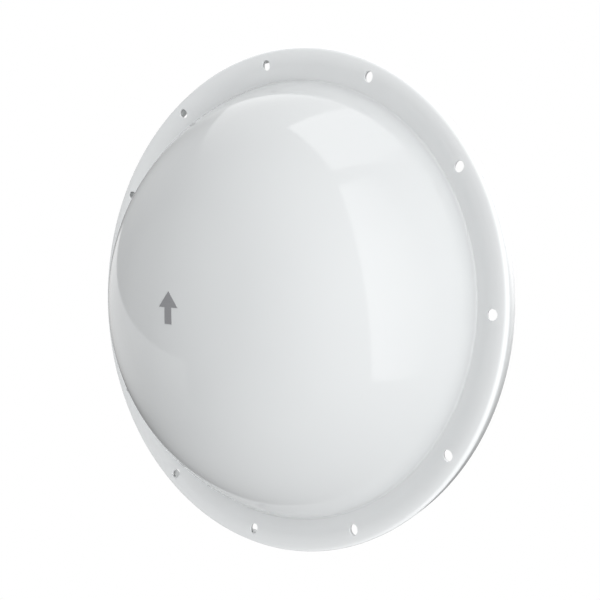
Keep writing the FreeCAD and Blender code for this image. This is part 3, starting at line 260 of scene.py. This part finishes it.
def bridge(made, low, high, skipped=()):
    """Quads between two closed rings of the same count, or triangles where one is a single point."""
    count = max(len(low), len(high))
    for k in range(count):
        if k in skipped:
            continue
        n = (k + 1) % count
        if len(low) == 1:
            made.faces.new((low[0], high[n], high[k]))
        elif len(high) == 1:
            made.faces.new((low[k], low[n], high[0]))
        else:
            made.faces.new((low[k], low[n], high[n], high[k]))


def lathe(name, profile, segments):
    """Surface of revolution about the Z axis. profile holds (radius, height)."""
    made = bmesh.new()
    rings = []
    for radius, height in profile:
        count = 1 if radius < 1e-9 else segments
        angles = [2 * math.pi * k / segments for k in range(count)]
        rings.append([made.verts.new((radius * math.cos(a), radius * math.sin(a), height)) for a in angles])
    for low, high in zip(rings, rings[1:]):
        bridge(made, low, high)
    return finish_mesh(name, made)


# ---------------------------------------------------------------- materials
def new_material(name):
    material = bpy.data.materials.new(name)
    material.use_nodes = True
    return material, material.node_tree, material.node_tree.nodes["Principled BSDF"]


def node(tree, kind, inputs=(), **settings):
    """Shader node of that kind. inputs maps socket names or numbers to values or to other nodes' sockets."""
    made = tree.nodes.new("ShaderNode" + kind)
    for key, value in settings.items():
        setattr(made, key, value)
    for key, value in dict(inputs).items():
        set_input(tree, made, key, value)
    return made


def set_input(tree, made, key, value):
    if isinstance(value, bpy.types.NodeSocket):
        tree.links.new(value, made.inputs[key])
    else:
        made.inputs[key].default_value = value


def calc(tree, operation, first, second=0.0):
    return node(tree, "Math", {0: first, 1: second}, operation=operation).outputs[0]


def dot(tree, vector, fixed):
    return node(tree, "VectorMath", {0: vector, 1: fixed}, operation="DOT_PRODUCT").outputs["Value"]


def object_place(tree):
    return node(tree, "TexCoord").outputs["Object"]


def from_axis(tree, place):
    """Distance of a place from the antenna's axis."""
    flat = node(tree, "VectorMath", {0: place, 1: (1.0, 0.0, 1.0)}, operation="MULTIPLY").outputs[0]
    return node(tree, "VectorMath", {0: flat}, operation="LENGTH").outputs["Value"]


def noise(tree, scale, detail=3.0, place=None):
    place = place or object_place(tree)
    return node(tree, "TexNoise", {"Vector": place, "Scale": scale, "Detail": detail}).outputs["Fac"]


def spread(tree, value, low, high, start=0.3, end=0.7):
    """Maps a noise value's middle range to low..high."""
    return node(tree, "MapRange", {"Value": value, "From Min": start, "From Max": end,
                                   "To Min": low, "To Max": high}).outputs["Result"]


def blend_colours(tree, factor, first, second):
    mix = node(tree, "Mix", data_type="RGBA")
    for key, value in ((0, factor), (6, first), (7, second)):
        set_input(tree, mix, key, value)
    return mix.outputs[2]


def bump(tree, height, distance, strength=1.0, under=None):
    inputs = {"Height": height, "Distance": distance, "Strength": strength}
    if under is not None:
        inputs["Normal"] = under
    return node(tree, "Bump", inputs).outputs["Normal"]


def shade(colour, level):
    return tuple(c * level for c in colour[:3]) + (1.0,)


def dust(tree, colour, dusty, amount):
    """A thin film of dust that lies thicker on faces that look up."""
    normal = node(tree, "NewGeometry").outputs["Normal"]
    upward = spread(tree, dot(tree, normal, (0.0, 0.0, 1.0)), 0.25, 1.0, 0.0, 0.9)
    patchy = spread(tree, noise(tree, 45.0, 6.0), 0.0, amount, 0.45, 0.75)
    return blend_colours(tree, calc(tree, "MULTIPLY", upward, patchy), colour, dusty)


def radome_plastic():
    """Glossy weatherproof moulding with a faint orange peel. The flange's white is painted lighter than the
    dome's as painted light, since both are one plastic.
    """
    material, tree, shader = new_material("radome_gloss_white")
    place = object_place(tree)
    cloud = spread(tree, noise(tree, 7.0, 4.0, place), 0.0, 1.0)
    # Painted light: dome and flange are one white plastic, and the flange's lighter copy stands in for the
    # brighter light it gets.
    dome = blend_colours(tree, cloud, (0.692, 0.702, 0.706, 1.0), (0.706, 0.716, 0.719, 1.0))
    rim = blend_colours(tree, cloud, (0.893, 0.903, 0.907, 1.0), (0.903, 0.912, 0.915, 1.0))
    radius = from_axis(tree, place)
    # Mask of the flange, which gets the lighter, painted-light copy of the white.
    painted_light_flange_mask = spread(tree, radius, 0.0, 1.0, DOME_FOOT_R - FOOT_FILLET, DOME_FOOT_R + FOOT_FILLET)
    colour = blend_colours(tree, painted_light_flange_mask, dome, rim)
    rough = spread(tree, noise(tree, 60.0, 5.0), 0.06, 0.10)
    peel = bump(tree, noise(tree, 340.0, 2.0), 0.00002, 0.3)
    set_input(tree, shader, "Base Color", colour)
    set_input(tree, shader, "Roughness", rough)
    set_input(tree, shader, "Normal", peel)
    return material


def printed_mark():
    """Matt grey screen print with a fine, slightly uneven grain."""
    material, tree, shader = new_material("mark_print")
    grain = spread(tree, noise(tree, 1400.0, 4.0), 0.0, 1.0)
    grey = blend_colours(tree, grain, (0.26, 0.26, 0.27, 1.0), (0.31, 0.31, 0.32, 1.0))
    set_input(tree, shader, "Base Color", grey)
    set_input(tree, shader, "Roughness", spread(tree, noise(tree, 500.0), 0.45, 0.60))
    set_input(tree, shader, "Normal", bump(tree, noise(tree, 1800.0, 2.0), 0.00001))
    return material


def powder_coat(name, colour):
    """Powder coat: the close, soft peel of baked paint, a little dust and faint dulled patches."""
    material, tree, shader = new_material(name)
    cloud = spread(tree, noise(tree, 9.0, 5.0), 0.0, 1.0)
    base = blend_colours(tree, cloud, shade(colour, 0.95), shade(colour, 1.0))
    set_input(tree, shader, "Base Color", dust(tree, base, (0.45, 0.42, 0.38, 1.0), 0.12))
    set_input(tree, shader, "Roughness", spread(tree, noise(tree, 30.0, 5.0), 0.32, 0.48))
    peel = bump(tree, noise(tree, 420.0, 2.0), 0.00010, 0.5)
    set_input(tree, shader, "Normal", bump(tree, noise(tree, 2500.0, 1.0), 0.00002, 0.4, peel))
    return material


def moulded(name, colour, roughness, grain_scale=900.0, grain_depth=0.00004):
    """Moulded plastic or rubber: fine grain, a slightly uneven colour and a little dust."""
    material, tree, shader = new_material(name)
    cloud = spread(tree, noise(tree, 40.0, 4.0), 0.0, 1.0)
    base = blend_colours(tree, cloud, shade(colour, 0.88), shade(colour, 1.05))
    set_input(tree, shader, "Base Color", dust(tree, base, (0.40, 0.38, 0.35, 1.0), 0.10))
    set_input(tree, shader, "Roughness", spread(tree, noise(tree, 150.0), roughness * 0.85, roughness * 1.1))
    set_input(tree, shader, "Normal", bump(tree, noise(tree, grain_scale, 3.0), grain_depth))
    return material


def galvanised_steel():
    """Hot-dip zinc: spangle cells that differ in tone and gloss, a soft runny surface and dull patches."""
    material, tree, shader = new_material("galvanised_spangle")
    place = object_place(tree)
    warp = node(tree, "TexNoise", {"Vector": place, "Scale": 90.0, "Detail": 2.0}).outputs["Color"]
    warped = node(tree, "VectorMath", {0: warp, 1: (0.006, 0.006, 0.006)}, operation="MULTIPLY").outputs[0]
    warped = node(tree, "VectorMath", {0: place, 1: warped}, operation="ADD").outputs[0]
    cells = node(tree, "TexVoronoi", {"Vector": warped, "Scale": 130.0})
    tone = node(tree, "SeparateColor", {0: cells.outputs["Color"]})
    base = blend_colours(tree, tone.outputs[0], (0.47, 0.49, 0.50, 1.0), (0.70, 0.72, 0.73, 1.0))
    dull = spread(tree, noise(tree, 22.0, 6.0), 0.0, 0.6, 0.5, 0.75)
    base = blend_colours(tree, dull, base, (0.62, 0.63, 0.62, 1.0))
    set_input(tree, shader, "Base Color", base)
    set_input(tree, shader, "Metallic", spread(tree, dull, 0.95, 0.6, 0.0, 0.6))
    set_input(tree, shader, "Roughness", spread(tree, tone.outputs[1], 0.34, 0.56, 0.0, 1.0))
    runs = bump(tree, noise(tree, 160.0, 4.0), 0.00012, 0.5)
    set_input(tree, shader, "Normal", bump(tree, cells.outputs["Distance"], 0.00003, 0.5, runs))
    return material


def cast_metal():
    """As-cast aluminium: sandy grain, small pits and a dull oxide cloud."""
    material, tree, shader = new_material("cast_grain")
    cloud = spread(tree, noise(tree, 60.0, 5.0), 0.0, 1.0)
    pits = spread(tree, noise(tree, 700.0, 2.0), 0.0, 1.0, 0.62, 0.70)
    base = blend_colours(tree, cloud, (0.52, 0.53, 0.54, 1.0), (0.64, 0.65, 0.66, 1.0))
    set_input(tree, shader, "Base Color", blend_colours(tree, pits, base, (0.30, 0.30, 0.30, 1.0)))
    set_input(tree, shader, "Metallic", 0.85)
    set_input(tree, shader, "Roughness", spread(tree, noise(tree, 300.0, 4.0), 0.45, 0.68))
    grain = bump(tree, noise(tree, 1100.0, 4.0), 0.00012, 0.8)
    set_input(tree, shader, "Normal", bump(tree, pits, -0.00010, 0.8, grain))
    return material


def machined(name, colour, roughness, ridge_scale, metallic=1.0):
    """Turned or drawn metal: fine rings about the antenna's axis, small scuffs and a patchy gloss."""
    material, tree, shader = new_material(name)
    place = object_place(tree)
    along = dot(tree, place, (0.0, 1.0, 0.0))
    ring_place = node(tree, "CombineXYZ", {0: from_axis(tree, place), 1: along}).outputs[0]
    rings = noise(tree, ridge_scale, 2.0, ring_place)
    scuffs = spread(tree, noise(tree, 260.0, 6.0), 0.0, 1.0, 0.58, 0.72)
    cloud = spread(tree, noise(tree, 35.0, 4.0), 0.0, 1.0)
    base = blend_colours(tree, cloud, shade(colour, 0.92), shade(colour, 1.0))
    set_input(tree, shader, "Base Color", blend_colours(tree, scuffs, base, shade(colour, 0.80)))
    set_input(tree, shader, "Metallic", metallic)
    gloss = spread(tree, rings, roughness * 0.8, roughness * 1.3)
    set_input(tree, shader, "Roughness", calc(tree, "ADD", gloss, calc(tree, "MULTIPLY", scuffs, 0.10)))
    set_input(tree, shader, "Normal", bump(tree, rings, 0.00002, 0.6))
    return material


def scale_face():
    """Etched plate with a long dark line every five degrees about the tilt axis, and short ones between."""
    material, tree, shader = new_material("scale_etched")
    place = node(tree, "SeparateXYZ", {0: object_place(tree)})
    y = calc(tree, "SUBTRACT", place.outputs["Y"], EL_PIVOT[1])
    z = calc(tree, "SUBTRACT", place.outputs["Z"], EL_PIVOT[2])
    degrees = calc(tree, "MULTIPLY", calc(tree, "ARCTAN2", y, z), 180 / math.pi)
    squares = calc(tree, "ADD", calc(tree, "MULTIPLY", y, y), calc(tree, "MULTIPLY", z, z))
    outer = calc(tree, "GREATER_THAN", calc(tree, "SQRT", squares), SCALE_R)
    long_line = tick(tree, degrees, 5.0, 0.10)
    short_line = calc(tree, "MULTIPLY", tick(tree, degrees, 1.0, 0.30), outer)
    lines = calc(tree, "MAXIMUM", long_line, short_line)
    cloud = spread(tree, noise(tree, 500.0, 4.0), 0.0, 1.0)
    base = blend_colours(tree, cloud, (0.70, 0.70, 0.68, 1.0), (0.80, 0.80, 0.78, 1.0))
    set_input(tree, shader, "Base Color", blend_colours(tree, lines, base, (0.03, 0.03, 0.03, 1.0)))
    set_input(tree, shader, "Metallic", calc(tree, "SUBTRACT", 0.9, lines))
    set_input(tree, shader, "Roughness", spread(tree, noise(tree, 900.0, 3.0), 0.30, 0.42))
    set_input(tree, shader, "Normal", bump(tree, lines, -0.00005))
    return material


def tick(tree, degrees, step, width):
    """1 on lines that repeat every step degrees, each width of a step wide, and 0 between them."""
    part = calc(tree, "FRACT", calc(tree, "ADD", calc(tree, "DIVIDE", degrees, step), 100.0 + width / 2))
    return calc(tree, "LESS_THAN", part, width)


def paint_nodes():
    looks = {
        "radome_white": radome_plastic(),
        "mark_grey": printed_mark(),
        "gasket_black": moulded("gasket_rubber", (0.030, 0.030, 0.031), 0.75, 1500.0),
        "dish_paint": powder_coat("dish_powder_coat", (0.74, 0.75, 0.75)),
        "hub_paint": powder_coat("hub_powder_coat", (0.62, 0.635, 0.64)),
        "rivet_aluminium": machined("rivet_metal", (0.72, 0.72, 0.73), 0.34, 900.0),
        "feed_aluminium": machined("feed_turned", (0.76, 0.77, 0.78), 0.26, 2600.0),
        "cast_aluminium": cast_metal(),
        "cone_plastic": moulded("cone_low_loss", (0.80, 0.79, 0.75), 0.42),
        "plug_plastic": moulded("plug_black", (0.030, 0.030, 0.030), 0.50),
        "bush_plastic": moulded("bush_dark", (0.060, 0.060, 0.065), 0.55),
        "galvanised": galvanised_steel(),
        "zinc_hardware": machined("zinc_bright", (0.68, 0.70, 0.73), 0.27, 1500.0),
        "stainless": machined("stainless_steel", (0.62, 0.62, 0.63), 0.23, 1500.0),
        "connector_nickel": machined("nickel_plate", (0.72, 0.69, 0.63), 0.15, 1200.0),
        "scale_plate": scale_face(),
    }
    for sub in frame["record"]["subparts"]:
        thing = NODES[sub["node"]]
        thing.data.materials.clear()
        thing.data.materials.append(looks[sub["material_slot"]])
    return looks


# ---------------------------------------------------------------- radome
def flange(radius, inset):
    """Place of the flange's front skin ahead of its crest, or of the skin inset behind it."""
    if radius > CREST_R - (CREST_ROUND - inset) * math.sin(SLOPE):
        return -CREST_ROUND + math.sqrt((CREST_ROUND - inset)**2 - (CREST_R - radius)**2)
    return -CONE_DROP - (CONE_R - radius) * math.tan(SLOPE) - inset / math.cos(SLOPE)


def foot_fillet(inset, steps):
    """Concave fillet between dome and flange, from the dome outwards."""
    offset = FOOT_FILLET / math.cos(SLOPE)
    reach = DOME_R + FOOT_FILLET
    low, high = DOME_FOOT_R, CONE_R
    for _ in range(40):
        radius = (low + high) / 2
        ahead = flange(radius, 0.0) + offset
        if math.hypot(radius, ahead - DOME_CENTRE) > reach:
            high = radius
        else:
            low = radius
    centre_r, centre_x = low, flange(low, 0.0) + offset
    dome_side = math.atan2(centre_x - DOME_CENTRE, centre_r) + math.pi
    flange_side = SLOPE + 1.5 * math.pi
    points = []
    for k in range(steps + 1):
        a = dome_side + (flange_side - dome_side) * k / steps
        bend = FOOT_FILLET + inset
        points.append((centre_r + bend * math.cos(a), centre_x + bend * math.sin(a)))
    return points


def skin(inset, dome_steps, fillet_steps):
    """Dome and fillet of one skin, from the apex to the start of the flange."""
    fillet = foot_fillet(inset, fillet_steps)
    end = math.asin(fillet[0][0] / (DOME_R - inset))
    points = []
    for k in range(dome_steps):
        a = end * k / dome_steps
        points.append(((DOME_R - inset) * math.sin(a), DOME_CENTRE + (DOME_R - inset) * math.cos(a)))
    return points + fillet


def edge_round(inset, steps):
    """Rounding from the flange's crest to the skirt."""
    bend = FLANGE_EDGE_R - inset
    angles = [math.radians(90 * k / steps) for k in range(steps + 1)]
    return [(CREST_R + bend * math.sin(a), bend * math.cos(a) - FLANGE_EDGE_R) for a in angles]


def make_radome():
    """Dense lathe of the radome with its rim holes, so that reflections run smoothly over the dome."""
    segments = 600
    half = 3                     # a hole's patch reaches this many segments to each side
    steps = 8                    # and has this many bands across
    patch = 9.6 * MM
    lip = 0.5 * MM               # the skirt's end is rounded over this much
    made = bmesh.new()

    def ring(radius, ahead):
        count = 1 if radius < 1e-9 else segments
        angles = [2 * math.pi * k / segments for k in range(count)]
        y = FLANGE_Y - ahead
        return [made.verts.new((radius * math.sin(a), y, radius * math.cos(a))) for a in angles]

    def rings(points):
        return [ring(radius, ahead) for radius, ahead in points]

    band_radii = [HOLE_CIRCLE - patch + 2 * patch * k / steps for k in range(steps + 1)]
    outer_band = rings([(r, flange(r, 0.0)) for r in band_radii])
    inner_band = rings([(r, flange(r, WALL)) for r in band_radii])
    skirt_in = RADOME_R - WALL
    skirt_end = -SKIRT_DEPTH
    skirt = [(RADOME_R, -FLANGE_EDGE_R - lip), (RADOME_R, skirt_end + lip),
             (RADOME_R - lip * 0.3, skirt_end + lip * 0.3), (RADOME_R - lip, skirt_end),
             (skirt_in + lip, skirt_end), (skirt_in + lip * 0.3, skirt_end + lip * 0.3),
             (skirt_in, skirt_end + lip), (skirt_in, -FLANGE_EDGE_R - lip)]
    loops = rings(skin(0.0, 56, 5)) + outer_band + rings(edge_round(0.0, 7)) + rings(skirt)
    loops += rings(reversed(edge_round(WALL, 4))) + inner_band[::-1] + rings(reversed(skin(WALL, 30, 4)))

    holes_at = [round(segments * k / RIM_HOLES) for k in range(RIM_HOLES)]
    skipped = {(at + d) % segments for at in holes_at for d in range(-half, half)}
    open_rings = {id(r) for r in outer_band + inner_band}
    for low, high in zip(loops, loops[1:]):
        pierced = id(low) in open_rings and id(high) in open_rings
        bridge(made, low, high, skipped if pierced else ())
    for at in holes_at:
        outer = hole_patch(made, outer_band, at, half, 0.0)
        inner = hole_patch(made, inner_band, at, half, WALL)
        wall = outer + inner[::-1]
        for low, high in zip(wall, wall[1:]):
            bridge(made, low, high)
    return finish_mesh("radome", made, 40.0)


def hole_patch(made, rings, at, half, inset):
    """Fills the square left open round a hole, up to its eased rim. Returns the rim's two edges."""
    count = len(rings[0])
    steps = len(rings) - 1
    border = [rings[0][(at + d) % count] for d in range(-half, half)]
    border += [rings[k][(at + half) % count] for k in range(steps)]
    border += [rings[steps][(at + d) % count] for d in range(half, -half, -1)]
    border += [rings[k][(at - half) % count] for k in range(steps, 0, -1)]
    angle = 2 * math.pi * at / count
    centre = Vector((HOLE_CIRCLE * math.sin(angle), HOLE_CIRCLE * math.cos(angle)))
    eased = 0.3 * MM
    depth = eased if inset == 0.0 else -eased
    edges = []
    for radius, sink in ((HOLE_R + eased, 0.0), (HOLE_R, depth)):
        edge = []
        for vert in border:
            spot = centre + (Vector((vert.co.x, vert.co.z)) - centre).normalized() * radius
            y = FLANGE_Y - flange(spot.length, inset) + sink
            edge.append(made.verts.new((spot.x, y, spot.y)))
        edges.append(edge)
    bridge(made, border, edges[0])
    return edges


# ---------------------------------------------------------------- threads
def thread_radius(shank_r, pitch, length, along, turn):
    """Radius of a thread at the distance along. turn is the place in a pitch: 0 a crest, 0.5 a root."""
    flank = (1 - abs(2 * turn - 1) - CREST_FLAT) / (1 - CREST_FLAT - ROOT_FLAT)
    depth = THREAD_DEPTH * pitch * min(max(flank, 0.0), 1.0) * min(along / pitch, 1.0)
    return min(shank_r - depth, shank_r * (1 - TIP_CHAMFER) + length - along)


def cut_thread(made, start, away, shank_r, pitch, length):
    """Adds a threaded end, open at its start, that runs length along away. Its rows climb as a helix."""
    side = away.orthogonal().normalized()
    up = away.cross(side)
    turns = math.ceil(length / pitch)
    rows = {}
    for row in range(-THREAD_ROWS, (turns + 1) * THREAD_ROWS + 1):
        for k in range(THREAD_SEGMENTS):
            along = (row / THREAD_ROWS + k / THREAD_SEGMENTS) * pitch
            along = min(max(along, 0.0), length)
            turn = (row % THREAD_ROWS) / THREAD_ROWS if 0.0 < along < length else 0.0
            radius = thread_radius(shank_r, pitch, length, along, turn)
            angle = 2 * math.pi * k / THREAD_SEGMENTS
            spot = start + away * along + side * (radius * math.cos(angle)) + up * (radius * math.sin(angle))
            rows[row, k] = made.verts.new(spot)
    for row in range(-THREAD_ROWS, turns * THREAD_ROWS):
        for k in range(THREAD_SEGMENTS):
            if k + 1 < THREAD_SEGMENTS:
                far = (rows[row, k + 1], rows[row + 1, k + 1])
            else:
                far = (rows[row + THREAD_ROWS, 0], rows[row + THREAD_ROWS + 1, 0])
            made.faces.new((rows[row, k], far[0], far[1], rows[row + 1, k]))


def connected(made):
    """Vertices of each separate solid, in the mesh's own order, so that each run gives the same mesh."""
    seen = set()
    for first in made.verts:
        if first in seen:
            continue
        seen.add(first)
        solid = [first]
        for vert in solid:
            for edge in vert.link_edges:
                other = edge.other_vert(vert)
                if other not in seen:
                    seen.add(other)
                    solid.append(other)
        yield solid


def find_tip(bolt, axis):
    """Middle of a bolt's narrow end, and the direction from its head towards it."""
    low = Vector([min(v.co[k] for v in bolt) for k in range(3)])
    high = Vector([max(v.co[k] for v in bolt) for k in range(3)])
    middle = (low + high) / 2
    reach = []
    for end in (low[axis], high[axis]):
        middle[axis] = end
        reach.append(max((v.co - middle).length for v in bolt if abs(v.co[axis] - end) < WELD))
    away = Vector((0, 0, 0))
    away[axis] = 1.0 if reach[1] < reach[0] else -1.0
    middle[axis] = high[axis] if away[axis] > 0 else low[axis]
    return middle, away


def threaded(node_name, axis, size, length):
    """A CAD node's bolts with a real thread over the last stretch of each shank."""
    shank_r, pitch = THREADS[size]
    made = bmesh.new()
    made.from_mesh(NODES[node_name].data)
    bmesh.ops.remove_doubles(made, verts=made.verts, dist=WELD)
    for bolt in list(connected(made)):
        tip, away = find_tip(bolt, axis)
        start = tip - away * length
        faces = list(dict.fromkeys(f for v in bolt for f in v.link_faces))
        edges = list(dict.fromkeys(e for v in bolt for e in v.link_edges))
        bmesh.ops.bisect_plane(made, geom=bolt + edges + faces, plane_co=start - away * THREAD_GAP,
                               plane_no=away, clear_outer=True)
        cut_thread(made, start, away, shank_r, pitch, length)
        bmesh.ops.remove_doubles(made, verts=made.verts, dist=WELD)
        end = [e for e in made.edges
               if e.is_boundary and all((v.co - tip).dot(away) > -WELD for v in e.verts)]
        bmesh.ops.edgeloop_fill(made, edges=end)
        bmesh.ops.bridge_loops(made, edges=[e for e in made.edges if e.is_boundary])
    thing = finish_mesh(node_name + "_threaded", made)
    thing.data.materials.append(NODES[node_name].data.materials[0])
    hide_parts(node_name)
    bodies = frame["record"]["behaviour"]["bodies"]
    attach(thing, next(body for body in bodies if node_name in bodies[body]))


def make_threads():
    """Threads every bolt whose end shows. The axis is that of its shank."""
    threaded("clamp_bolts", Y, "M10", 62.0 * MM)
    threaded("hub_bolts", Y, "M8", 16.0 * MM)
    threaded("ground_stud", Y, "M6", 22.0 * MM)
    threaded("elevation_pivot_bolts", X, "M10", 16.0 * MM)
    threaded("elevation_lock_bolts", X, "M8", 15.0 * MM)
    threaded("azimuth_pivot_bolts", Z, "M12", 18.0 * MM)
    threaded("azimuth_lock_bolts", Z, "M8", 16.0 * MM)


# ---------------------------------------------------------------- build
def main():
    make_camera()
    make_world()
    make_panels()
    make_stage()
    looks = paint_nodes()
    radome = make_radome()
    radome.data.materials.append(looks["radome_white"])
    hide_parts("radome_shell")
    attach(radome, "radome")
    make_threads()


main()
